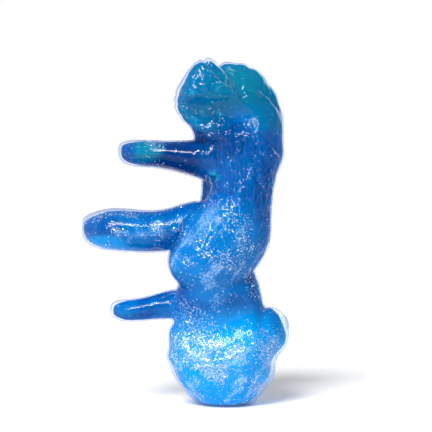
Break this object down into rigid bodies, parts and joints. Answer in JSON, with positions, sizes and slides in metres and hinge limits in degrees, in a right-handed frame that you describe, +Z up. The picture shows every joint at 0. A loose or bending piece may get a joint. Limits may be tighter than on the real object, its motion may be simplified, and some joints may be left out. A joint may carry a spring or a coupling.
{
  "type": "stress ball",
  "caption": "Gel-filled stress ball held in its fist-squeezed shape, with tongues standing out between the fingers and a sprung end that presses in.",
  "frame": {"origin": "centre of the bounding box at its bottom, in the plane of the flat patch under the foot lobe", "axes": "+Z up through the fist from the index finger's side to the little finger's side, +X from the fingertips' outer ends towards the palm, +Y from the front, where the nails are, to the back, where the knuckles are"},
  "size_m": [0.07, 0.0343, 0.1153],
  "materials": {
    "clear_skin": "clear, glossy and slightly tacky",
    "blue_gel": "translucent gel, wet gloss",
    "silver_glitter": "mirror-like film flakes",
    "plug_rubber": "translucent, satin",
    "cured_adhesive": "clear, glossy"
  },
  "bodies": {
    "ball": {"outer_skin": "clear_skin", "gel_fill": "blue_gel", "glitter_flakes": "silver_glitter"},
    "plug": {"fill_plug": "plug_rubber", "plug_adhesive": "cured_adhesive"}
  },
  "joints": [
    {"name": "end_press", "type": "slide", "parent": "ball", "child": "plug", "axis": [0, 0, 1], "range_m": [0, 0.012], "stiffness_N_per_m": 300, "deforming": ["outer_skin", "gel_fill", "glitter_flakes"]}
  ]
}
